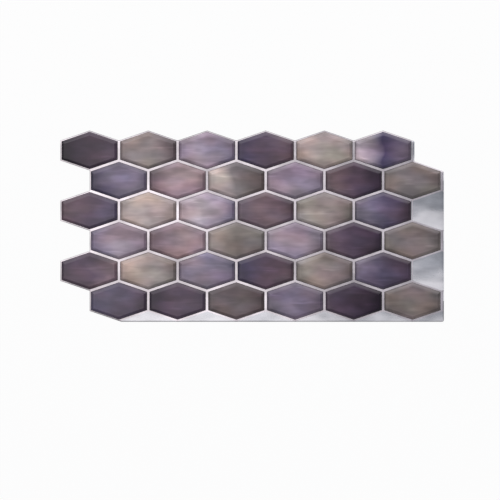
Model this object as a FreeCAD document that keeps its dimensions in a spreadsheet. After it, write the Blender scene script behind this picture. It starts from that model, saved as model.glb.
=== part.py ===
import FreeCAD, Part
import os
import Sketcher

# Self-adhesive wall tile panel: clear gel hexagons on a silver film, with bare laps for the next panels.
# It lies face up. X runs along its rows, Y points to its top row and Z is up.
# The origin is the middle of its underside. Lengths are in millimetres.

# Driving dimensions. A cell is one hexagon with half of the grout around it.
DIMENSIONS = {
    "tile_columns": 6,  # gel tiles in each row
    "row_pairs": 3,  # each a row at the left edge and one moved right by half a tile
    "tile_pitch": 46.6,  # from tile to tile along a row
    "side_length": 16.0,  # upright side of a cell
    "point_rise": 7.9,  # height of a cell's point above its shoulders
    "grout_width": 1.9,  # bare silver between two tiles
    "trim_margin": 0.9,  # film beyond the tiles on the left and along the top
    "right_margin": 2.6,  # film beyond the last tile of a row
    "bottom_margin": 1.6,  # film below the points of the last row
    "cut_radius": 1.5,  # rounded corners of the die cut on the right
    "liner_thickness": 0.15,
    "film_thickness": 0.35,  # printed film with its adhesive coat
    "gel_height": 1.5,  # crown of the gel above the film
    "meniscus_width": 3.2,  # curved rim of the gel, from its foot to the flat crown
}

# Expressions that several features share, all from the cells above.
HALF_PITCH = "(Dimensions.tile_pitch / 2)"
HALF_SIDE = "(Dimensions.side_length / 2)"
HALF_GROUT = "(Dimensions.grout_width / 2)"
ROW_PITCH = "(Dimensions.side_length + Dimensions.point_rise)"
ROWS = "(2 * Dimensions.row_pairs)"
# Fall of a slanted edge for each millimetre along X, and height of a slanted strip for each of its width.
FALL = f"(Dimensions.point_rise / {HALF_PITCH})"
SLANT = f"(sqrt(1 + {FALL}^2))"
# How far the die cut lies inside the cells.
SETBACK = f"({HALF_GROUT} - Dimensions.trim_margin)"

PANEL_LENGTH = (
    "((Dimensions.tile_columns + 0.5) * Dimensions.tile_pitch - Dimensions.grout_width"
    " + Dimensions.trim_margin + Dimensions.right_margin)"
)
PANEL_HEIGHT = (
    f"({ROWS} * {ROW_PITCH} + Dimensions.point_rise - ({SETBACK} + {HALF_GROUT}) * {SLANT}"
    " + Dimensions.bottom_margin)"
)
RIGHT = f"({PANEL_LENGTH} / 2)"
TOP = f"({PANEL_HEIGHT} / 2)"
# The sides of the first and the last cell of the top row, and the middles of the rows.
CELLS_LEFT = f"(-{RIGHT} - {SETBACK})"
CELLS_RIGHT = f"({CELLS_LEFT} + Dimensions.tile_columns * Dimensions.tile_pitch)"
FIRST_ROW_Y = f"({TOP} + {SETBACK} * {SLANT} - Dimensions.point_rise - {HALF_SIDE})"
SECOND_ROW_Y = f"({FIRST_ROW_Y} - {ROW_PITCH})"
LAST_ROW_Y = f"({FIRST_ROW_Y} - ({ROWS} - 1) * {ROW_PITCH})"
# The die cut's valleys between the points of the top row, and its wall beside a moved row.
VALLEY_Y = f"({FIRST_ROW_Y} + {HALF_SIDE} - {SETBACK} * {SLANT})"
WALL_X = f"({CELLS_LEFT} + {HALF_PITCH} + {SETBACK})"
WALL_SHIFT = f"({SETBACK} * ({SLANT} - {FALL}))"
# Right-hand edge of the film beside the top row.
STEP_X = f"({CELLS_RIGHT} - {HALF_GROUT} + Dimensions.right_margin)"

# The gel's rim is an arc that meets the flat crown smoothly. Its circle starts outside the foot.
RIM_RADIUS = "((Dimensions.meniscus_width^2 + Dimensions.gel_height^2) / (2 * Dimensions.gel_height))"
BLANK_INSET = f"({HALF_GROUT} - ({RIM_RADIUS} - Dimensions.meniscus_width))"

FILM_BOTTOM = "Dimensions.liner_thickness"
GEL_BOTTOM = "(Dimensions.liner_thickness + Dimensions.film_thickness)"

CUT_CLEARANCE = 5.0  # how far each cutting outline runs past the sheet
BLANK_SPARE = 1.0  # blank of a gel tile below the start of its rim's circle
TOLERANCE = 1e-4


def fill_sheet(doc):
    """The spreadsheet that holds every driving dimension under its name."""
    sheet = doc.addObject("Spreadsheet::Sheet", "Dimensions")
    for row, (name, value) in enumerate(DIMENSIONS.items(), start=1):
        sheet.set(f"A{row}", name)
        sheet.set(f"B{row}", str(value))
        sheet.setAlias(f"B{row}", name)
    doc.recompute()
    return sheet


def polygon_sketch(body, name, corners, level="0"):
    """A closed outline on the body's base plane, each corner a pair of expressions of the sheet."""
    sketch = body.newObject("Sketcher::SketchObject", name)
    base_plane = next(f for f in body.Origin.OriginFeatures if f.Role == "XY_Plane")
    sketch.AttachmentSupport = [(base_plane, "")]
    sketch.MapMode = "FlatFace"
    sketch.setExpression("AttachmentOffset.Base.z", level)
    points = [FreeCAD.Vector(*(float(sketch.evalExpression(e)) for e in corner)) for corner in corners]
    sketch.addGeometry([Part.LineSegment(a, b) for a, b in zip(points, points[1:] + points[:1])])
    for line in range(len(points)):
        following = (line + 1) % len(points)
        sketch.addConstraint(Sketcher.Constraint("Coincident", line, 2, following, 1))
    for line, (point, corner) in enumerate(zip(points, corners)):
        for kind, value, expression in zip(("DistanceX", "DistanceY"), point, corner):
            index = sketch.addConstraint(Sketcher.Constraint(kind, -1, 1, line, 1, value))
            sketch.setExpression(f"Constraints[{index}]", expression)
    return sketch


def pad(body, name, corners, level, length):
    """An outline raised by the given length from its own level."""
    feature = body.newObject("PartDesign::Pad", name)
    feature.Profile = polygon_sketch(body, f"{name}_outline", corners, level)
    feature.setExpression("Length", length)
    return feature


def pocket(body, name, corners, side):
    """An outline cut out of the body, downwards from the base plane or both ways."""
    feature = body.newObject("PartDesign::Pocket", name)
    feature.Profile = polygon_sketch(body, f"{name}_outline", corners)
    feature.Type = "ThroughAll"
    feature.SideType = side
    return feature


def repeat(body, cut, axis, step, copies, backwards):
    """The same cut several times along an axis of its own sketch."""
    pattern = body.newObject("PartDesign::LinearPattern", f"{cut.Name}_row")
    pattern.Originals = [cut]
    pattern.Direction = (cut.Profile[0], [axis])
    pattern.Reversed = backwards
    pattern.Mode = "Spacing"
    pattern.setExpression("Offset", step)
    pattern.setExpression("Occurrences", copies)
    body.Tip = pattern


def blank_outline():
    """The whole rectangle that the panel is die cut from."""
    return [(f"-{RIGHT}", f"-{TOP}"), (RIGHT, f"-{TOP}"), (RIGHT, TOP), (f"-{RIGHT}", TOP)]


def valley_outline():
    """The wedge above the left end of the top row, which also fits between its points."""
    left, right = f"({CELLS_LEFT} - {HALF_PITCH})", f"({CELLS_LEFT} + {HALF_PITCH})"
    above = f"({TOP} + {CUT_CLEARANCE})"
    return [(CELLS_LEFT, VALLEY_Y), (right, TOP), (right, above), (left, above), (left, TOP)]


def notch_outline():
    """The notch beside the second row, which the last tile of the panel on the left fills."""
    outside_x = f"({CELLS_LEFT} - {CUT_CLEARANCE})"
    wall_reach = f"({HALF_SIDE} + {WALL_SHIFT})"
    mouth_reach = f"({wall_reach} + {FALL} * ({WALL_X} - {outside_x}))"
    return [
        (WALL_X, f"{SECOND_ROW_Y} + {wall_reach}"),
        (outside_x, f"{SECOND_ROW_Y} + {mouth_reach}"),
        (outside_x, f"{SECOND_ROW_Y} - {mouth_reach}"),
        (WALL_X, f"{SECOND_ROW_Y} - {wall_reach}"),
    ]


def corner_outline():
    """The open notch beside the last row, down to the slope under its first tile."""
    outside_x = f"({CELLS_LEFT} - {CUT_CLEARANCE})"
    upper_y = f"({LAST_ROW_Y} + {HALF_SIDE} + {WALL_SHIFT})"
    lower_y = f"({LAST_ROW_Y} - {HALF_SIDE} + {WALL_SHIFT})"
    below_y = f"(-{TOP} - {CUT_CLEARANCE})"
    return [
        (WALL_X, upper_y),
        (outside_x, f"{upper_y} + {FALL} * ({WALL_X} - {outside_x})"),
        (outside_x, below_y),
        (f"{WALL_X} + ({lower_y} - {below_y}) / {FALL}", below_y),
        (WALL_X, lower_y),
    ]


def step_outline():
    """The corner above the second row's last tile, which reaches half a tile past the top row."""
    past_cells = f"({STEP_X} - {CELLS_RIGHT})"
    outside_x = f"({RIGHT} + {CUT_CLEARANCE})"
    above_y = f"({TOP} + {CUT_CLEARANCE})"
    point_y = f"({VALLEY_Y} - {ROW_PITCH} + Dimensions.point_rise)"
    return [
        (CELLS_RIGHT, VALLEY_Y),
        (STEP_X, f"{VALLEY_Y} - {FALL} * {past_cells}"),
        (STEP_X, f"{point_y} - {FALL} * {past_cells}"),
        (outside_x, f"{point_y} - {FALL} * ({outside_x} - {CELLS_RIGHT})"),
        (outside_x, above_y),
        (CELLS_RIGHT, above_y),
    ]


def upright_edges(shape, x):
    """Names of the upright edges at one place along X, from the lowest Y to the highest."""
    found = []
    for number, edge in enumerate(shape.Edges, start=1):
        box = edge.BoundBox
        upright = box.XLength < TOLERANCE and box.YLength < TOLERANCE
        if upright and abs(box.Center.x - x) < TOLERANCE:
            found.append((box.Center.y, f"Edge{number}"))
    return [name for _, name in sorted(found)]


def build_sheet(doc, label, bottom, thickness):
    """A flat sheet with the die-cut outline of the panel."""
    body = doc.addObject("PartDesign::Body", label)
    body.setExpression("Placement.Base.z", bottom)
    pad(body, f"{label}_blank", blank_outline(), "0", thickness)
    valley = pocket(body, f"{label}_valley", valley_outline(), "Symmetric")
    repeat(body, valley, "H_Axis", "Dimensions.tile_pitch", "Dimensions.tile_columns + 1", False)
    notch = pocket(body, f"{label}_notch", notch_outline(), "Symmetric")
    repeat(body, notch, "V_Axis", f"2 * {ROW_PITCH}", "Dimensions.row_pairs - 1", True)
    pocket(body, f"{label}_corner", corner_outline(), "Symmetric")
    step = pocket(body, f"{label}_step", step_outline(), "Symmetric")
    doc.recompute()
    # The outer corners on the right, and the upper of the step's two.
    outer = upright_edges(step.Shape, body.evalExpression(RIGHT))
    upper = upright_edges(step.Shape, body.evalExpression(STEP_X))[-1:]
    rounding = body.newObject("PartDesign::Fillet", f"{label}_rounding")
    rounding.Base = (step, outer + upper)
    rounding.setExpression("Radius", "Dimensions.cut_radius")
    return body


def build_tile(doc, label, row, column):
    """A gel tile: a blank with its top edges rounded to the rim's circle, then cut off at its foot."""
    body = doc.addObject("PartDesign::Body", label)
    pitches = column - (0.5 if row % 2 else 0)
    body.setExpression("Placement.Base.x", f"{CELLS_LEFT} + {pitches} * Dimensions.tile_pitch")
    body.setExpression("Placement.Base.y", f"{FIRST_ROW_Y} - {row - 1} * {ROW_PITCH}")
    body.setExpression("Placement.Base.z", GEL_BOTTOM)
    side_x = f"({HALF_PITCH} - {BLANK_INSET})"
    shoulder_y = f"({HALF_SIDE} - {BLANK_INSET} * ({SLANT} - {FALL}))"
    point_y = f"({HALF_SIDE} + Dimensions.point_rise - {BLANK_INSET} * {SLANT})"
    hexagon = [
        (side_x, f"-{shoulder_y}"),
        (side_x, shoulder_y),
        ("0", point_y),
        (f"-{side_x}", shoulder_y),
        (f"-{side_x}", f"-{shoulder_y}"),
        ("0", f"-{point_y}"),
    ]
    blank_bottom = f"(Dimensions.gel_height - {RIM_RADIUS} - {BLANK_SPARE})"
    blank = pad(body, f"{label}_blank", hexagon, blank_bottom, f"Dimensions.gel_height - {blank_bottom}")
    doc.recompute()
    crown = max(range(len(blank.Shape.Faces)), key=lambda face: blank.Shape.Faces[face].CenterOfMass.z)
    rim = body.newObject("PartDesign::Fillet", f"{label}_rim")
    rim.Base = (blank, [f"Face{crown + 1}"])
    rim.setExpression("Radius", RIM_RADIUS)
    x, y = "Dimensions.tile_pitch", ROW_PITCH
    pocket(body, f"{label}_foot", [(f"-{x}", f"-{y}"), (x, f"-{y}"), (x, y), (f"-{x}", y)], "One side")
    return body


def check(doc, bodies):
    """Stops where a feature failed, a cut removed nothing or a piece is not one valid solid."""
    for item in doc.Objects:
        if {"Invalid", "Error"} & set(item.State):
            raise RuntimeError(f"{item.Name} failed: {item.State}")
        if item.TypeId == "PartDesign::Pocket":
            if item.Shape.Volume >= item.BaseFeature.Shape.Volume - TOLERANCE:
                raise RuntimeError(f"{item.Name} cuts nothing")
    for body in bodies:
        if body.Shape.isNull() or not body.Shape.isValid() or len(body.Shape.Solids) != 1:
            raise RuntimeError(f"{body.Label} is not one valid solid")


def main():
    doc = FreeCAD.newDocument("WallTilePanel")
    sheet = fill_sheet(doc)
    bodies = [
        build_sheet(doc, "release_liner", "0", "Dimensions.liner_thickness"),
        build_sheet(doc, "carrier_film", FILM_BOTTOM, "Dimensions.film_thickness"),
    ]
    for row in range(1, 2 * sheet.row_pairs + 1):
        for column in range(1, sheet.tile_columns + 1):
            bodies.append(build_tile(doc, f"gel_tile_r{row}_c{column}", row, column))
    doc.recompute()
    check(doc, bodies)
    os.makedirs("parts", exist_ok=True)
    for body in bodies:
        body.Shape.exportStep(f"parts/{body.Label}.step")
    print(f"{len(bodies)} pieces, {sum(body.Shape.Volume for body in bodies):.1f} mm3")


main()
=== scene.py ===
import math
import bpy
from mathutils import Matrix, Vector


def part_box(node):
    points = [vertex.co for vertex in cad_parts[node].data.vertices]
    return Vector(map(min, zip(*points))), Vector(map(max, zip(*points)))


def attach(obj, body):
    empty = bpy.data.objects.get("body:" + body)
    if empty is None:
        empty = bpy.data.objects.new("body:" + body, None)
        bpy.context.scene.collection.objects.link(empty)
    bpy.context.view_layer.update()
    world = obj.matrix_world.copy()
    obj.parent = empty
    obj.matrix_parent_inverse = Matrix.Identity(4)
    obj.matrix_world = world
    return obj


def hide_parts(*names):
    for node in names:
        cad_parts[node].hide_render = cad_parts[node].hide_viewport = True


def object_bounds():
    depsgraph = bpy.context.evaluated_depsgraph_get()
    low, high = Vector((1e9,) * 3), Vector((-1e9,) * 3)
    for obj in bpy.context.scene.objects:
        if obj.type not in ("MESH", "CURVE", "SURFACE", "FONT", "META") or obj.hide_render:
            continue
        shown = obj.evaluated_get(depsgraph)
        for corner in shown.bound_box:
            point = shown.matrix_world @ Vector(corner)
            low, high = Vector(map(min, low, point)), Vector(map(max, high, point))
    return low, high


# A self-adhesive wall tile panel: glossy gel hexagons over brushed metallic prints, on a silver film.
# It lies face up with its top row towards +Y, and the camera looks straight down on it.
# Lengths are in metres.

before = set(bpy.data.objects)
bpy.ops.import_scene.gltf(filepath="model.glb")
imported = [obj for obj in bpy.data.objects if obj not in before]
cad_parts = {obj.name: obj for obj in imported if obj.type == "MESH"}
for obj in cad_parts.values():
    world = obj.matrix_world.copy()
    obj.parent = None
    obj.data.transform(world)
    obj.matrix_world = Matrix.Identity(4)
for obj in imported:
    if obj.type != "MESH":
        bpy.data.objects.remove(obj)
cadLow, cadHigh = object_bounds()
print("frame loaded:", len(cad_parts), "nodes")

tiny = 1e-6  # points and levels that are nearer to each other than this count as one
facesUp = 0.9  # a face whose normal rises by more than this looks up
flatAngle = math.radians(1)  # faces that meet at less than this are merged into one
smoothAngle = math.radians(40)  # faces that meet at less than this are shaded as one surface


def toLinear(red, green, blue):
    # a colour as a paint chart gives it, 0 to 255, made ready for a shader's socket
    shares = [value / 255 for value in (red, green, blue)]
    return [s / 12.92 if s <= 0.04045 else ((s + 0.055) / 1.055) ** 2.4 for s in shares] + [1.0]


def work(piece):
    bpy.ops.object.select_all(action="DESELECT")
    piece.select_set(True)
    bpy.context.view_layer.objects.active = piece


def selectFaces(piece, wanted):
    # the choice is made in object mode, where a mesh keeps its selection, and used in edit mode
    bpy.ops.object.mode_set(mode="EDIT")
    bpy.ops.mesh.select_mode(type="FACE")
    bpy.ops.mesh.select_all(action="DESELECT")
    bpy.ops.object.mode_set(mode="OBJECT")
    for face in piece.data.polygons:
        face.select = wanted(face)
    bpy.ops.object.mode_set(mode="EDIT")


def selectEdges(piece, wanted):
    bpy.ops.object.mode_set(mode="EDIT")
    bpy.ops.mesh.select_mode(type="EDGE")
    bpy.ops.mesh.select_all(action="DESELECT")
    bpy.ops.object.mode_set(mode="OBJECT")
    points = piece.data.vertices
    for edge in piece.data.edges:
        edge.select = wanted(points[edge.vertices[0]].co, points[edge.vertices[1]].co)
    bpy.ops.object.mode_set(mode="EDIT")


def addWaves(piece, name, startLevel, fullLevel, height, waveLength):
    # a soft unevenness that begins at one level and is full above another, the same on every run
    bpy.ops.object.mode_set(mode="OBJECT")
    group = piece.vertex_groups.new(name=name)
    for vertex in piece.data.vertices:
        share = (vertex.co.z - startLevel) / (fullLevel - startLevel)
        if share > 0:
            group.add([vertex.index], min(share, 1.0), "REPLACE")
    clouds = bpy.data.textures.new(name, type="CLOUDS")
    clouds.noise_scale = waveLength
    clouds.noise_depth = 1
    waves = piece.modifiers.new(name, "DISPLACE")
    waves.texture = clouds
    waves.texture_coords = "LOCAL"
    waves.direction = "Z"
    waves.strength = height
    waves.mid_level = 0.5
    waves.vertex_group = name
    work(piece)
    bpy.ops.object.modifier_apply(modifier=name)


def copySheet(node, name):
    # a merged copy of one of the frame's flat sheets, left in edit mode
    piece = bpy.data.objects.new(name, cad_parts[node].data.copy())
    bpy.context.scene.collection.objects.link(piece)
    work(piece)
    bpy.ops.object.mode_set(mode="EDIT")
    bpy.ops.mesh.select_all(action="SELECT")
    bpy.ops.mesh.remove_doubles(threshold=tiny)
    bpy.ops.mesh.select_all(action="SELECT")
    bpy.ops.mesh.dissolve_limited(angle_limit=flatAngle)
    return piece


def layPiece(piece, node, material):
    # the piece takes over from its node of the frame
    piece.data.materials.clear()
    piece.data.materials.append(material)
    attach(piece, "root")
    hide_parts(node)


def startMaterial(name):
    material = bpy.data.materials.new(name)
    material.use_nodes = True
    tree = material.node_tree
    place = tree.nodes.new("ShaderNodeTexCoord")
    return material, tree, tree.nodes["Principled BSDF"], place


def noise(tree, place, stretch, detail=2.0, distortion=0.0, shift=(0, 0, 0)):
    # stretch is how often the pattern repeats in each metre, along X, Y and Z
    mapping = tree.nodes.new("ShaderNodeMapping")
    mapping.inputs["Scale"].default_value = stretch
    mapping.inputs["Location"].default_value = shift
    pattern = tree.nodes.new("ShaderNodeTexNoise")
    pattern.inputs["Scale"].default_value = 1.0
    pattern.inputs["Detail"].default_value = detail
    pattern.inputs["Distortion"].default_value = distortion
    tree.links.new(place.outputs["Object"], mapping.inputs["Vector"])
    tree.links.new(mapping.outputs["Vector"], pattern.inputs["Vector"])
    return pattern.outputs["Fac"]


def spread(tree, value, fromLow, fromHigh, toLow, toHigh):
    span = tree.nodes.new("ShaderNodeMapRange")
    span.interpolation_type = "SMOOTHSTEP"
    sockets = ("From Min", "From Max", "To Min", "To Max")
    for socket, amount in zip(sockets, (fromLow, fromHigh, toLow, toHigh)):
        span.inputs[socket].default_value = amount
    tree.links.new(value, span.inputs["Value"])
    return span.outputs["Result"]


def patterned(tree, place, levels, gives, **look):
    # noise between two levels, turned into a value between the two that it gives
    return spread(tree, noise(tree, place, **look), *levels, *gives)


def feed(tree, value, socket):
    # the value is another node's output, a number or the numbers of a colour
    if isinstance(value, (int, float, list, tuple)):
        socket.default_value = value
    else:
        tree.links.new(value, socket)


def calculate(tree, operation, *values):
    node = tree.nodes.new("ShaderNodeMath")
    node.operation = operation
    for socket, value in zip(node.inputs, values):
        feed(tree, value, socket)
    return node.outputs[0]


def times(tree, *values):
    product = values[0]
    for value in values[1:]:
        product = calculate(tree, "MULTIPLY", product, value)
    return product


def blend(tree, share, first, second):
    # the share is how much of the second colour there is
    node = tree.nodes.new("ShaderNodeMix")
    node.data_type = "RGBA"
    for name, value in (("Factor", share), ("A", first), ("B", second)):
        feed(tree, value, node.inputs[name])
    return node.outputs["Result"]


def scaled(tree, color, factor):
    node = tree.nodes.new("ShaderNodeVectorMath")
    node.operation = "SCALE"
    tree.links.new(color, node.inputs[0])
    tree.links.new(factor, node.inputs["Scale"])
    return node.outputs["Vector"]


def bump(tree, height, distance, strength):
    node = tree.nodes.new("ShaderNodeBump")
    node.inputs["Distance"].default_value = distance
    node.inputs["Strength"].default_value = strength
    tree.links.new(height, node.inputs["Height"])
    return node.outputs["Normal"]


# Camera. The panel's ends and its middle are where the picture has them, in pixels from its upper left.
picture = {
    "size": 500,
    "panelLeft": 60.0,
    "panelRight": 444.2,
    "panelMiddle": 226.1,
    "lens": 85,  # millimetres, like the sensor's width
    "sensor": 36,
}


def placeCamera(view):
    camera = bpy.data.objects.new("camera", bpy.data.cameras.new("camera"))
    bpy.context.scene.collection.objects.link(camera)
    camera.data.lens = view["lens"]
    camera.data.sensor_width = view["sensor"]
    perPixel = (cadHigh.x - cadLow.x) / (view["panelRight"] - view["panelLeft"])
    middle = view["size"] / 2
    away = view["size"] * perPixel * view["lens"] / view["sensor"]
    panelCentre = (view["panelLeft"] + view["panelRight"]) / 2
    camera.location = (
        (middle - panelCentre) * perPixel,
        (view["panelMiddle"] - middle) * perPixel,
        cadHigh.z + away,
    )
    bpy.context.scene.camera = camera
    return camera.location.copy()


eye = placeCamera(picture)
print("camera", round(eye.z, 3), "m above the floor")


# Studio: a white sweep, a soft glow overhead that fades to the right, and a softbox past the top row.
studio = {
    "horizon": (1.0, 1.0, 1.0, 1.0),
    "zenith": (0.34, 0.35, 0.38, 1.0),
    "horizonEnds": 0.16,  # height above the horizon, as the sine of the angle, where the sweep ends
    "zenithStarts": 0.45,
    "glow": (1.42, 1.4, 1.4, 1.0),
    "glowTowards": (-0.36, 0.0, 1.0),
    "glowFull": 9,  # degrees from its middle to where the glow begins to fade
    "glowGone": 30,
    "floorSize": 30.0,
    "floorGap": 0.00005,  # the floor lies this far under the sheet, so that no face is shared
    "floorColor": toLinear(240, 240, 241),
    "floorRoughness": 0.9,
    "floorSpecular": 0.1,
    "floorGlow": 0.92,  # share of the floor that shows plain white, so that only a soft shadow is left
}
softbox = {
    "name": "pastTopRow",
    "centre": (0.0, 1.15, 1.0),  # it shines from here at the panel's middle
    "width": 3.4,
    "length": 2.1,
    "radiance": 0.95,
}


def lightWorld(look):
    world = bpy.data.worlds.new("studio")
    bpy.context.scene.world = world
    world.use_nodes = True
    tree = world.node_tree
    direction = tree.nodes.new("ShaderNodeTexCoord").outputs["Generated"]
    split = tree.nodes.new("ShaderNodeSeparateXYZ")
    tree.links.new(direction, split.inputs[0])
    rise = spread(tree, split.outputs["Z"], look["horizonEnds"], look["zenithStarts"], 0.0, 1.0)
    towards = tree.nodes.new("ShaderNodeVectorMath")
    towards.operation = "DOT_PRODUCT"
    towards.inputs[1].default_value = Vector(look["glowTowards"]).normalized()
    tree.links.new(direction, towards.inputs[0])
    fade = [math.cos(math.radians(look[name])) for name in ("glowGone", "glowFull")]
    glow = spread(tree, towards.outputs["Value"], *fade, 0.0, 1.0)
    sky = blend(tree, rise, look["horizon"], look["zenith"])
    tree.links.new(blend(tree, glow, sky, look["glow"]), tree.nodes["Background"].inputs["Color"])


def addSoftbox(name, centre, width, length, radiance):
    lamp = bpy.data.lights.new(name, "AREA")
    lamp.shape = "RECTANGLE"
    lamp.size = width
    lamp.size_y = length
    lamp.energy = radiance * math.pi * width * length
    box = bpy.data.objects.new(name, lamp)
    bpy.context.scene.collection.objects.link(box)
    box.location = centre
    box.rotation_euler = (-Vector(centre)).to_track_quat("-Z", "Y").to_euler()


def layFloor(look):
    bpy.ops.object.select_all(action="DESELECT")
    level = cadLow.z - look["floorGap"]
    bpy.ops.mesh.primitive_plane_add(size=look["floorSize"], location=(0, 0, level))
    floor = bpy.context.object
    floor.name = "floor"
    paper = bpy.data.materials.new("whiteSweep")
    paper.use_nodes = True
    tree = paper.node_tree
    shader = tree.nodes["Principled BSDF"]
    shader.inputs["Base Color"].default_value = look["floorColor"]
    shader.inputs["Roughness"].default_value = look["floorRoughness"]
    shader.inputs["Specular IOR Level"].default_value = look["floorSpecular"]
    # the paper glows for the camera, also where it is reflected, but gives no diffuse light
    ray = tree.nodes.new("ShaderNodeLightPath").outputs
    seen = calculate(tree, "MAXIMUM", ray["Is Camera Ray"], ray["Is Glossy Ray"])
    seen = calculate(tree, "MAXIMUM", seen, ray["Is Transmission Ray"])
    glow = tree.nodes.new("ShaderNodeEmission")
    mix = tree.nodes.new("ShaderNodeMixShader")
    tree.links.new(times(tree, seen, look["floorGlow"]), mix.inputs["Fac"])
    tree.links.new(shader.outputs[0], mix.inputs[1])
    tree.links.new(glow.outputs[0], mix.inputs[2])
    tree.links.new(mix.outputs[0], tree.nodes["Material Output"].inputs["Surface"])
    floor.data.materials.append(paper)


lightWorld(studio)
addSoftbox(**softbox)
layFloor(studio)
bpy.context.scene.view_settings.view_transform = "Standard"
print("studio ready")


# Gel tiles. One is modelled and copied, and each copy stands for its own node of the frame.
gelTile = {
    "sideSegments": 6,  # along each side of the hexagon, for the unevenness of the poured gel
    "land": 0.0001,  # height of the gel's upright foot
    "sunk": 0.00006,  # how far the foot sits into the film
    "rimRings": 9,
    "roundedRings": 1,  # rings in which the rounded corners run out
    "cornerRoom": 1.04,  # the corners' radius is this many times the width of those rings
    "cornerSegments": 3,
    "crownRoom": 0.00014,  # the rim ends this far below the frame's crown, and the dome rises from there
    "crownRings": 5,
    "crownRise": 0.00008,
    "wavesFrom": 0.7,  # share of the gel's height where its unevenness begins
    "waveHeight": 0.00006,
    "waveLength": 0.011,
}


def readTile(node):
    # the sizes of the foot and of the crown, and the slant's angle to X, from the node's own corners
    low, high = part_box(node)
    centre = (low + high) / 2
    points = [v.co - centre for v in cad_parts[node].data.vertices]
    half = (high - low) / 2
    near = half.x * 1e-3  # a point this near to the side or to the crown lies on it
    shoulder = max(abs(p.y) for p in points if abs(p.x) > half.x - near)
    return {
        "halfWidth": half.x,
        "halfHeight": half.y,
        "shoulder": shoulder,
        "slope": math.atan2(half.y - shoulder, half.x),
        "rimWidth": half.x - max(p.x for p in points if p.z > half.z - near),
        "gelHeight": high.z - low.z,
    }


def rimSteps(width, height, count):
    # an arc that meets the flat crown smoothly, as steps inwards and upwards from the foot
    radius = (width ** 2 + height ** 2) / (2 * height)
    steepest = math.asin(width / radius)
    angles = [steepest * (count - i) / count for i in range(count + 1)]
    return [
        (radius * (math.sin(a) - math.sin(b)), radius * (math.cos(b) - math.cos(a)))
        for a, b in zip(angles, angles[1:])
    ]


def raiseRings(steps):
    for inwards, upwards in steps:
        bpy.ops.mesh.inset(thickness=inwards, depth=upwards, use_even_offset=True)


def raiseDome(count, rise):
    # rings drawn in towards the middle, on a shallow parabola
    for ring in range(1, count + 1):
        outer = 1 - (ring - 1) / (count + 1)
        inner = 1 - ring / (count + 1)
        shrink = inner / outer
        bpy.ops.mesh.inset(thickness=tiny)
        bpy.ops.transform.resize(value=(shrink, shrink, 1), center_override=(0, 0, 0))
        bpy.ops.transform.translate(value=(0, 0, rise * (outer ** 2 - inner ** 2)))


def roundCorners(piece, size, radius, segments):
    # the upright edges at the two points are rounded first, and then those at the four shoulders
    def atPoint(a, b):
        return (a.xy - b.xy).length < tiny and abs(a.x) < size["halfWidth"] / 2

    def atShoulder(a, b):
        nearSide = abs(size["halfWidth"] - abs(a.x)) < tiny
        return (a.xy - b.xy).length < tiny and nearSide and abs(size["shoulder"] - abs(a.y)) < tiny

    for chosen, turn in ((atPoint, size["slope"] * 2), (atShoulder, math.pi / 2 - size["slope"])):
        selectEdges(piece, chosen)
        bpy.ops.mesh.bevel(
            offset=radius * math.tan(turn / 2),
            segments=segments,
            affect="EDGES",
            clamp_overlap=False,
        )


def modelTile(tile, size):
    footHeight = tile["land"] + tile["sunk"]
    bpy.ops.object.select_all(action="DESELECT")
    bpy.ops.mesh.primitive_cylinder_add(
        vertices=6,
        radius=size["halfHeight"],
        depth=footHeight,
        location=(0, 0, footHeight / 2 - tile["sunk"]),
    )
    piece = bpy.context.object
    bpy.ops.object.transform_apply(location=True, rotation=True, scale=True)
    # a regular hexagon with its points up becomes the tile's own outline
    widened = size["halfWidth"] / (size["halfHeight"] * math.cos(math.pi / 6))
    heightened = size["shoulder"] / (size["halfHeight"] / 2)
    bpy.ops.object.mode_set(mode="EDIT")
    bpy.ops.mesh.select_all(action="SELECT")
    bpy.ops.transform.resize(value=(widened, 1, 1), center_override=(0, 0, 0))
    selectEdges(piece, lambda a, b: min(abs(a.x), abs(b.x)) > size["halfWidth"] / 2)
    bpy.ops.transform.resize(value=(1, heightened, 1), center_override=(0, 0, 0))
    # corners of one radius, which run out after the rim's first rings
    rimHeight = size["gelHeight"] - tile["land"] - tile["crownRoom"]
    rim = rimSteps(size["rimWidth"], rimHeight, tile["rimRings"])
    roundedRings = rim[: tile["roundedRings"]]
    mitredRings = rim[tile["roundedRings"] :]
    cornerRadius = tile["cornerRoom"] * sum(inwards for inwards, _ in roundedRings)
    roundCorners(piece, size, cornerRadius, tile["cornerSegments"])
    selectEdges(piece, lambda a, b: (a - b).length > size["shoulder"])
    bpy.ops.mesh.subdivide(number_cuts=tile["sideSegments"] - 1, quadcorner="INNERVERT")
    # the rim, whose rounded corners are drawn together to mitres on the way, then the shallow dome
    selectFaces(piece, lambda face: face.normal.z > facesUp)
    raiseRings(roundedRings)
    topLevel = sum(upwards for _, upwards in roundedRings) + tile["land"]
    selectEdges(piece, lambda a, b: min(a.z, b.z) > topLevel - tiny and (a - b).length < cornerRadius / 4)
    bpy.ops.mesh.merge(type="COLLAPSE")
    selectFaces(piece, lambda face: face.normal.z > facesUp and face.center.z > topLevel - tiny)
    raiseRings(mitredRings)
    raiseDome(tile["crownRings"], tile["crownRise"])
    bpy.ops.object.mode_set(mode="OBJECT")
    bpy.ops.object.shade_smooth_by_angle(angle=smoothAngle)
    mapTile(piece, size)
    return piece


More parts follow.
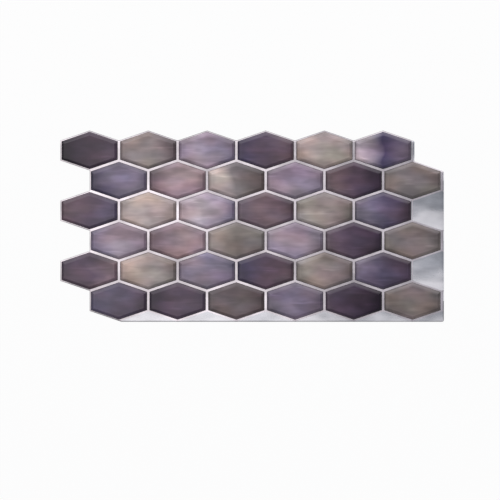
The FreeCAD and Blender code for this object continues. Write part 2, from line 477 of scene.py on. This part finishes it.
def mapTile(piece, size):
    # acrossTile runs 0 to 1 from the left side to the right and from the lower point to the upper one
    # edgeMap holds how far in from the outline a place is, in centimetres, and what is nearest to it:
    # 0 stands for a lower slant, 0.5 for a side and 1 for an upper slant
    across = piece.data.uv_layers[0]
    across.name = "acrossTile"
    edgeMap = piece.data.uv_layers.new(name="edgeMap")
    centimetres = 100

    def fromSide(point):
        return size["halfWidth"] - abs(point.x)

    def fromSlant(point):
        down = (size["halfHeight"] - abs(point.y)) * math.cos(size["slope"])
        return down - abs(point.x) * math.sin(size["slope"])

    for face in piece.data.polygons:
        onSlant = fromSlant(face.center) < fromSide(face.center)
        nearest = 0.5 if not onSlant else float(face.center.y > 0)
        for index in face.loop_indices:
            point = piece.data.vertices[piece.data.loops[index].vertex_index].co
            toRight = 0.5 + point.x / size["halfWidth"] / 2
            upwards = 0.5 + point.y / size["halfHeight"] / 2
            inwards = min(fromSide(point), fromSlant(point)) * centimetres
            across.data[index].uv = (toRight, upwards)
            edgeMap.data[index].uv = (inwards, nearest)


# Prints under the gel: the tones at the left, in the middle and at the right of a tile.
tones = {
    "ink": (37, 23, 40),
    "darkPlum": (61, 46, 63),
    "plum": (82, 65, 82),
    "warmPlum": (100, 79, 90),
    "dustyPlum": (111, 92, 102),
    "dustyRose": (127, 105, 113),
    "indigo": (71, 61, 88),
    "slate": (89, 78, 100),
    "greySlate": (112, 101, 120),
    "violet": (127, 115, 136),
    "lavender": (147, 130, 147),
    "lilac": (161, 143, 160),
    "rose": (175, 155, 161),
    "paleLilac": (190, 172, 184),
    "blush": (199, 184, 192),
    "mauve": (162, 136, 144),
    "cream": (212, 193, 186),
    "paleBeige": (183, 164, 158),
    "beige": (162, 148, 144),
    "taupe": (141, 127, 125),
    "greyTaupe": (123, 112, 111),
    "umber": (100, 87, 89),
    "darkUmber": (87, 73, 77),
}
prints = {
    # finish: left tone, middle tone, right tone
    "nightPlum": ("ink", "darkPlum", "plum"),
    "darkPlum": ("darkPlum", "plum", "plum"),
    "inkPlum": ("plum", "darkPlum", "ink"),
    "deepPlum": ("dustyPlum", "plum", "darkPlum"),
    "smokyPlum": ("indigo", "plum", "warmPlum"),
    "rosyPlum": ("plum", "plum", "dustyRose"),
    "dustyPlum": ("dustyPlum", "dustyPlum", "warmPlum"),
    "slatyPlum": ("warmPlum", "plum", "slate"),
    "rosySlate": ("blush", "indigo", "greySlate"),
    "slate": ("violet", "slate", "plum"),
    "blueLilac": ("indigo", "greySlate", "violet"),
    "blueSlate": ("slate", "slate", "plum"),
    "greyViolet": ("greySlate", "violet", "greySlate"),
    "violet": ("lavender", "violet", "greySlate"),
    "lavender": ("lavender", "lavender", "lavender"),
    "dimLavender": ("violet", "lavender", "lavender"),
    "softLilac": ("lilac", "lilac", "lavender"),
    "paleLavender": ("lilac", "lilac", "violet"),
    "lilac": ("rose", "paleLilac", "violet"),
    "mauve": ("dustyRose", "mauve", "mauve"),
    "taupe": ("taupe", "taupe", "umber"),
    "mildTaupe": ("beige", "taupe", "greyTaupe"),
    "lightTaupe": ("beige", "taupe", "taupe"),
    "dimTaupe": ("beige", "greyTaupe", "greyTaupe"),
    "fadingTaupe": ("cream", "greyTaupe", "umber"),
    "warmBeige": ("paleBeige", "beige", "beige"),
    "agedBeige": ("paleBeige", "beige", "taupe"),
    "paleBeige": ("paleBeige", "paleBeige", "beige"),
    "greyTaupe": ("taupe", "greyTaupe", "greyTaupe"),
    "umber": ("umber", "umber", "darkUmber"),
}
calmPrints = ("rosySlate",)  # their tones meet along a nearly straight front
tileLayout = [
    "nightPlum taupe paleLavender smokyPlum warmBeige rosySlate",
    "blueLilac mauve fadingTaupe lavender deepPlum greyTaupe",
    "slatyPlum paleBeige lilac dustyPlum lightTaupe slate",
    "dimLavender mauve dimTaupe softLilac deepPlum greyTaupe",
    "rosyPlum agedBeige violet smokyPlum mildTaupe slate",
    "blueSlate darkPlum umber greyViolet inkPlum greyTaupe",
]
gelLook = {
    "tonesAt": (0.08, 0.5, 0.92),  # where the three tones are pure, from a tile's left side to its right
    "drift": 0.32,  # how far the tones wander from side to side
    "calmDrift": 0.1,  # the same in the calm prints
    "wander": {"stretch": (22, 42, 22), "distortion": 0.5, "levels": (0.25, 0.75), "gives": (-0.5, 0.5)},
    "hueDrift": 0.075,  # how far the red and the blue of a tone rise and fall
    "huePatches": {"stretch": (34, 60, 34), "detail": 1, "levels": (0.3, 0.7)},
    "redShift": (1, 2, 0),  # the places in the noise that the red takes its patches from, and the blue
    "blueShift": (6, 4, 0),
    # what the brushed metal does to the brightness, with a few pale wisps that are painted highlights
    "streaks": {"stretch": (25, 170, 60), "distortion": 0.9, "levels": (0.28, 0.74), "gives": (0.9, 1.11)},
    "clouds": {"stretch": (42, 85, 40), "shift": (3, 5, 0), "levels": (0.28, 0.72), "gives": (0.74, 1.24)},
    "brushLines": {"stretch": (90, 1900, 90), "levels": (0.25, 0.75), "gives": (0.985, 1.015)},
    "paintedWisps": {"stretch": (30, 220, 60), "shift": (7, 1, 0), "levels": (0.6, 0.78), "gives": (1.0, 1.4)},
    # painted shade: brightness that goes over from one to another between two places of a tile, darker
    # towards its sides and its two points
    "ends": (0.2, 0.5, 1.04, 0.78),  # from near the middle out to the sides
    "top": (0.45, 0.9, 1.04, 0.92),  # from the middle up to the upper point
    "bottom": (0.02, 0.3, 0.92, 1.0),  # from the lower point up
    "footDark": 0.12,  # painted shade: brightness of the print along the gel's foot
    "footReach": 0.07,  # how far in that dark line fades out, in centimetres
    "upperFoot": 0.62,  # the same line's brightness on the two upper slants
    "rimWidth": 0.29,  # width of the border of painted light and shade, in centimetres
    "rimSoft": 0.03,  # how soft its inner end is, in centimetres
    "rimDark": 0.89,  # painted shade: brightness of the border at the sides and below
    "shadeBetween": (0.1, 0.85),  # how far in a wider shade there begins to fade and ends, in centimetres
    "shadeDark": 0.86,
    "borderGrey": toLinear(149, 140, 148),  # mixed into the painted highlight of the border along the two upper slants
    "borderShare": 0.1,
    "borderPlain": 0.1,  # how much of its colour that border loses
    "borderLight": 1.06,
    "line": 0.14,  # how much the painted highlight line along the border's inner end stands out
    "lineReach": 0.07,  # how far it reaches to each side, in centimetres
    "metallic": 0.3,
    "roughness": 0.42,
    "coatRoughness": 0.05,
    "coatIor": 1.42,
}


def readMap(tree, name):
    layer = tree.nodes.new("ShaderNodeUVMap")
    layer.uv_map = name
    split = tree.nodes.new("ShaderNodeSeparateXYZ")
    tree.links.new(layer.outputs["UV"], split.inputs[0])
    return split.outputs["X"], split.outputs["Y"]


def toneAcross(tree, place, across, drift, left, middle, right):
    # the three tones run into each other along an uneven front
    wander = patterned(tree, place, **gelLook["wander"])
    shift = calculate(tree, "ADD", across, times(tree, wander, drift))
    leftAt, middleAt, rightAt = gelLook["tonesAt"]
    ramp = tree.nodes.new("ShaderNodeValToRGB")
    stops = ramp.color_ramp.elements
    stops[0].position = leftAt
    stops[0].color = toLinear(*tones[left])
    stops[1].position = rightAt
    stops[1].color = toLinear(*tones[right])
    stops.new(middleAt).color = toLinear(*tones[middle])
    tree.links.new(shift, ramp.inputs["Fac"])
    # red and blue drift apart in places, so that the tone turns warmer or cooler there
    tint = tree.nodes.new("ShaderNodeCombineXYZ")
    tint.inputs["Y"].default_value = 1.0
    drifts = (1 - gelLook["hueDrift"], 1 + gelLook["hueDrift"])
    for channel, name in (("X", "redShift"), ("Z", "blueShift")):
        patches = patterned(tree, place, gives=drifts, shift=gelLook[name], **gelLook["huePatches"])
        tree.links.new(patches, tint.inputs[channel])
    tinted = tree.nodes.new("ShaderNodeVectorMath")
    tinted.operation = "MULTIPLY"
    tree.links.new(ramp.outputs["Color"], tinted.inputs[0])
    tree.links.new(tint.outputs["Vector"], tinted.inputs[1])
    return tinted.outputs["Vector"]


def brushworkAndPaintedLight(tree, place, across, upwards):
    # brushed streaks along the rows, broad soft clouds, fine brush lines, a few pale wisps as painted
    # highlights, and painted shade towards the tile's sides and points
    names = ("streaks", "clouds", "brushLines", "paintedWisps")
    patterns = [patterned(tree, place, **gelLook[name]) for name in names]
    offMiddle = calculate(tree, "ABSOLUTE", calculate(tree, "SUBTRACT", across, 0.5))
    ends = spread(tree, offMiddle, *gelLook["ends"])
    top = spread(tree, upwards, *gelLook["top"])
    bottom = spread(tree, upwards, *gelLook["bottom"])
    return times(tree, *patterns, ends, top, bottom)


def outlineShade(tree, inwards, rim, upper):
    # painted shade at the sides and below, a painted highlight line along the border's inner end, and a
    # line of painted shade along the gel's foot
    wideShade = spread(tree, inwards, *gelLook["shadeBetween"], 1 - gelLook["shadeDark"], 0.0)
    borderShade = times(tree, rim, 1 - gelLook["rimDark"])
    sideShade = calculate(tree, "ADD", wideShade, borderShade)
    other = calculate(tree, "SUBTRACT", 1.0, upper)
    rimShade = calculate(tree, "SUBTRACT", 1.0, times(tree, sideShade, other))
    middle, reach = gelLook["rimWidth"], gelLook["lineReach"]
    rising = spread(tree, inwards, middle - reach, middle, 0.0, 1.0)
    falling = spread(tree, inwards, middle, middle + reach, 1.0, 0.0)
    lineShade = calculate(tree, "MULTIPLY_ADD", times(tree, rising, falling), gelLook["line"], 1.0)
    foot = spread(tree, inwards, 0.0, gelLook["footReach"], gelLook["footDark"], 1.0)
    footShade = calculate(tree, "MAXIMUM", foot, times(tree, upper, gelLook["upperFoot"]))
    return times(tree, rimShade, lineShade, footShade)


def gelMaterial(name, left, middle, right):
    material, tree, shader, place = startMaterial(name + "Gel")
    across, upwards = readMap(tree, "acrossTile")
    inwards, nearest = readMap(tree, "edgeMap")
    drift = gelLook["calmDrift" if name in calmPrints else "drift"]
    tone = toneAcross(tree, place, across, drift, left, middle, right)
    # the print with its painted highlights and painted shade
    printAndPaintedLight = scaled(tree, tone, brushworkAndPaintedLight(tree, place, across, upwards))
    # a border inside the outline, painted paler and greyer on the two upper slants as a painted highlight
    upper = spread(tree, nearest, 0.6, 0.9, 0.0, 1.0)  # 1 where an upper slant is nearest, and 0 elsewhere
    width, soft = gelLook["rimWidth"], gelLook["rimSoft"]
    rim = spread(tree, inwards, width - soft, width + soft, 1.0, 0.0)
    plain = tree.nodes.new("ShaderNodeHueSaturation")
    plain.inputs["Saturation"].default_value = 1 - gelLook["borderPlain"]
    plain.inputs["Value"].default_value = gelLook["borderLight"]
    tree.links.new(printAndPaintedLight, plain.inputs["Color"])
    greyer = blend(tree, gelLook["borderShare"], plain.outputs["Color"], gelLook["borderGrey"])
    bordered = blend(tree, times(tree, rim, upper), printAndPaintedLight, greyer)
    shade = outlineShade(tree, inwards, rim, upper)
    tree.links.new(scaled(tree, bordered, shade), shader.inputs["Base Color"])
    shader.inputs["Roughness"].default_value = gelLook["roughness"]
    shader.inputs["Metallic"].default_value = gelLook["metallic"]
    shader.inputs["Specular IOR Level"].default_value = 0.0
    shader.inputs["Coat Weight"].default_value = 1.0
    shader.inputs["Coat Roughness"].default_value = gelLook["coatRoughness"]
    shader.inputs["Coat IOR"].default_value = gelLook["coatIor"]
    return material


def layTiles(tile):
    size = readTile("gel_tile_r1_c1")
    master = modelTile(tile, size)
    materials = {name: gelMaterial(name, *spec) for name, spec in prints.items()}
    for row, finishes in enumerate(tileLayout, start=1):
        for column, finish in enumerate(finishes.split(), start=1):
            node = f"gel_tile_r{row}_c{column}"
            low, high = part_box(node)
            piece = master.copy()
            piece.data = master.data.copy()
            piece.name = f"gelTile_r{row}_c{column}"
            bpy.context.scene.collection.objects.link(piece)
            foot = ((low.x + high.x) / 2, (low.y + high.y) / 2, low.z)
            piece.data.transform(Matrix.Translation(foot))
            waveStart = low.z + size["gelHeight"] * tile["wavesFrom"]
            waveFull = high.z - tile["crownRoom"]
            addWaves(piece, "pouredGel", waveStart, waveFull, tile["waveHeight"], tile["waveLength"])
            layPiece(piece, node, materials[finish])
    bpy.data.objects.remove(master)


layTiles(gelTile)
print("gel tiles laid")


# Carrier film: the die-cut sheet of silver film, its cut edge pressed down and its face gently wavy.
carrierFilm = {
    "edgeWidth": 0.0015,
    "edgeDrop": 0.00022,
    "edgeRings": 4,
    "gridStep": 0.007,
    "waveHeight": 0.00012,
    "waveLength": 0.018,
    "grout": toLinear(237, 228, 234),  # the pearly lines printed between the tiles, and round each bare lap
    "groutReach": 0.0011,  # how far a line reaches into a cell from its outline
    "lapReach": 0.0003,  # the same for the bare cells of the laps
    "lineSoft": 0.0002,  # how soft a line's side is
    "silver": toLinear(194, 196, 203),
    # the pale silver is a painted reflection, towards the lower end of each bare lap
    "paleSilver": toLinear(242, 239, 243),
    "palerBelow": (-0.014, 0.011),  # from pale to dark, measured up from the middle of a lap's cell
    "lowestPaler": 0.015,  # how much further up that lies in the laps under the last row
    "palerPatches": {
        "stretch": (26, 60, 26),
        "shift": (0.3, 0.7, 0),
        "levels": (0.3, 0.7),
        "gives": (-0.005, 0.005),
    },
    "paleMetal": 0.45,  # how metallic the palest silver still is
    "paleLight": 1.1,  # brightness of it without the clouds
    "paleEven": 0.7,  # how far the clouds fade out on it
    # painted reflection: wide darker patches in the silver
    "wideClouds": {
        "stretch": (8, 13, 8),
        "detail": 1,
        "shift": (3.7, 0, 0),
        "levels": (0.35, 0.65),
        "gives": (1.0, 0.7),
    },
    "narrowClouds": {"stretch": (45, 85, 60), "levels": (0.3, 0.7), "gives": (1.14, 0.82)},
    "ripples": {"stretch": (90, 90, 90), "detail": 1},
    "rippleHeight": 0.00008,
    "rippleStrength": 0.4,
    "edge": 0.27,  # painted shade: brightness of the film at its cut edge
    "sideEdge": 0.95,  # the same along the right side
    "edgeEnds": 0.08,  # share of the drop that is left where the edge's shade ends
    "roughness": 0.22,
}


def modelFilm(film):
    low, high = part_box("carrier_film")
    piece = copySheet("carrier_film", "carrierFilm")
    # the cut edge is pressed down, and a parabola leads from it up to the flat face
    selectFaces(piece, lambda face: face.normal.z > facesUp)
    bpy.ops.transform.translate(value=(0, 0, -film["edgeDrop"]))
    count = film["edgeRings"]
    levels = [film["edgeDrop"] * (1 - (1 - i / count) ** 2) for i in range(count + 1)]
    raiseRings((film["edgeWidth"] / count, above - below) for below, above in zip(levels, levels[1:]))
    # a grid of cuts gives the waves something to move
    for axis in (0, 1):
        normal = Vector((axis == 0, axis == 1, 0))
        place = low[axis] + film["gridStep"]
        while place < high[axis]:
            bpy.ops.mesh.select_all(action="SELECT")
            bpy.ops.mesh.bisect(plane_co=normal * place, plane_no=normal)
            place += film["gridStep"]
    edgeLevel = high.z - film["edgeDrop"]
    addWaves(piece, "filmWaves", edgeLevel, high.z, film["waveHeight"], film["waveLength"])
    bpy.ops.object.shade_smooth_by_angle(angle=smoothAngle)
    return piece


def readCells():
    # the layout of the tiles' cells, each of which reaches to the middle of the grout, from the frame
    tile = readTile("gel_tile_r1_c1")
    middles = [sum(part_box(f"gel_tile_{place}"), Vector()) / 2 for place in ("r1_c1", "r1_c2", "r2_c1")]
    pitch = middles[1].x - middles[0].x
    return {
        "middles": (middles[0], middles[2]),
        "halfWidth": pitch / 2,
        "rowPitch": middles[0].y - middles[2].y,
        "slope": tile["slope"],
        "halfHeight": tile["halfHeight"] + (pitch / 2 - tile["halfWidth"]) / math.cos(tile["slope"]),
        "lapsRightOf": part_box("gel_tile_r1_c6")[1].x,
        "lapsBelow": sum(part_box("gel_tile_r6_c1"), Vector()).y / 2,
    }


def cellDepth(tree, x, y, cells, middle):
    # how far inside its own cell a place is, for the cells of every second row
    offX = calculate(tree, "PINGPONG", calculate(tree, "SUBTRACT", x, middle.x), cells["halfWidth"])
    offY = calculate(tree, "PINGPONG", calculate(tree, "SUBTRACT", y, middle.y), cells["rowPitch"])
    fromSide = calculate(tree, "SUBTRACT", cells["halfWidth"], offX)
    down = times(tree, calculate(tree, "SUBTRACT", cells["halfHeight"], offY), math.cos(cells["slope"]))
    fromSlant = calculate(tree, "SUBTRACT", down, times(tree, offX, math.sin(cells["slope"])))
    return calculate(tree, "MINIMUM", fromSide, fromSlant)


def bareParts(tree, x, y, cells, inLaps, film):
    # 1 where the film is bare, and 0 on the printed lines, which are thinner round the cells of the laps
    first, second = [cellDepth(tree, x, y, cells, middle) for middle in cells["middles"]]
    anyCell = calculate(tree, "MAXIMUM", first, second)
    lapCell = times(tree, first, inLaps)
    sides = [
        spread(tree, depth, film[reach] - film["lineSoft"], film[reach] + film["lineSoft"], 0.0, 1.0)
        for reach, depth in (("groutReach", anyCell), ("lapReach", lapCell))
    ]
    return calculate(tree, "MAXIMUM", *sides)


def filmMaterial(film):
    material, tree, shader, place = startMaterial("printedFilm")
    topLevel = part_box("carrier_film")[1].z
    split = tree.nodes.new("ShaderNodeSeparateXYZ")
    tree.links.new(place.outputs["Object"], split.inputs[0])
    x, y, z = split.outputs
    cells = readCells()
    toRight = calculate(tree, "GREATER_THAN", x, cells["lapsRightOf"])
    below = calculate(tree, "LESS_THAN", y, cells["lapsBelow"])
    bare = bareParts(tree, x, y, cells, calculate(tree, "MAXIMUM", toRight, below), film)
    # painted reflection: the silver of a bare lap gets paler towards its lower end, in uneven patches
    offMiddle = calculate(tree, "SUBTRACT", y, cells["middles"][0].y)
    fromCentre = calculate(tree, "WRAP", offMiddle, cells["rowPitch"], -cells["rowPitch"])
    lowered = calculate(tree, "SUBTRACT", fromCentre, times(tree, below, film["lowestPaler"]))
    level = calculate(tree, "ADD", lowered, patterned(tree, place, **film["palerPatches"]))
    paler = spread(tree, level, *film["palerBelow"], 1.0, 0.0)
    silver = blend(tree, paler, film["silver"], film["paleSilver"])
    # clouds in the metal's brightness, wide ones a painted reflection and narrow ones its uneven tone,
    # which fade out on the palest silver
    clouds = [patterned(tree, place, **film[name]) for name in ("wideClouds", "narrowClouds")]
    clouded = times(tree, *clouds)
    missing = calculate(tree, "SUBTRACT", film["paleLight"], clouded)
    lift = times(tree, missing, paler, bare, film["paleEven"])
    clouded = calculate(tree, "ADD", clouded, lift)
    # painted shade: the darker line along the pressed edge, which is fainter on the right
    edgeLevels = (topLevel - film["edgeDrop"], topLevel - film["edgeDrop"] * film["edgeEnds"])
    slope = spread(tree, z, *edgeLevels, 1.0, 0.0)
    side = times(tree, toRight, calculate(tree, "SUBTRACT", 1.0, below))
    edge = spread(tree, side, 0.0, 1.0, 1 - film["edge"], 1 - film["sideEdge"])
    pressed = calculate(tree, "SUBTRACT", 1.0, times(tree, slope, edge))
    color = scaled(tree, blend(tree, bare, film["grout"], silver), times(tree, clouded, pressed))
    tree.links.new(color, shader.inputs["Base Color"])
    ripples = noise(tree, place, **film["ripples"])
    rippled = bump(tree, ripples, film["rippleHeight"], film["rippleStrength"])
    tree.links.new(rippled, shader.inputs["Normal"])
    whitish = calculate(tree, "MAXIMUM", times(tree, bare, paler), times(tree, slope, side))
    metallic = spread(tree, whitish, 0.0, 1.0, 1.0, film["paleMetal"])
    tree.links.new(metallic, shader.inputs["Metallic"])
    shader.inputs["Roughness"].default_value = film["roughness"]
    return material


layPiece(modelFilm(carrierFilm), "carrier_film", filmMaterial(carrierFilm))
print("film laid")


# Release liner: the plain thin sheet of siliconed paper under the film.
linerPaper = {
    "color": toLinear(236, 233, 225),
    "fibreColor": toLinear(222, 217, 206),
    "fibres": {"stretch": (260, 900, 400), "detail": 5, "distortion": 0.6},
    "fibreLevels": (0.45, 0.75),  # between these levels of the noise the fibres' colour comes in
    "fibreHeight": 0.00003,
    "fibreStrength": 0.6,
    "roughness": 0.55,
}


def modelLiner():
    piece = copySheet("release_liner", "releaseLiner")
    bpy.ops.object.mode_set(mode="OBJECT")
    bpy.ops.object.shade_smooth_by_angle(angle=smoothAngle)
    return piece


def linerMaterial(paper):
    material, tree, shader, place = startMaterial("linerPaper")
    fibres = noise(tree, place, **paper["fibres"])
    share = spread(tree, fibres, *paper["fibreLevels"], 0.0, 1.0)
    color = blend(tree, share, paper["color"], paper["fibreColor"])
    tree.links.new(color, shader.inputs["Base Color"])
    raised = bump(tree, fibres, paper["fibreHeight"], paper["fibreStrength"])
    tree.links.new(raised, shader.inputs["Normal"])
    shader.inputs["Roughness"].default_value = paper["roughness"]
    return material


layPiece(modelLiner(), "release_liner", linerMaterial(linerPaper))
print("liner laid")
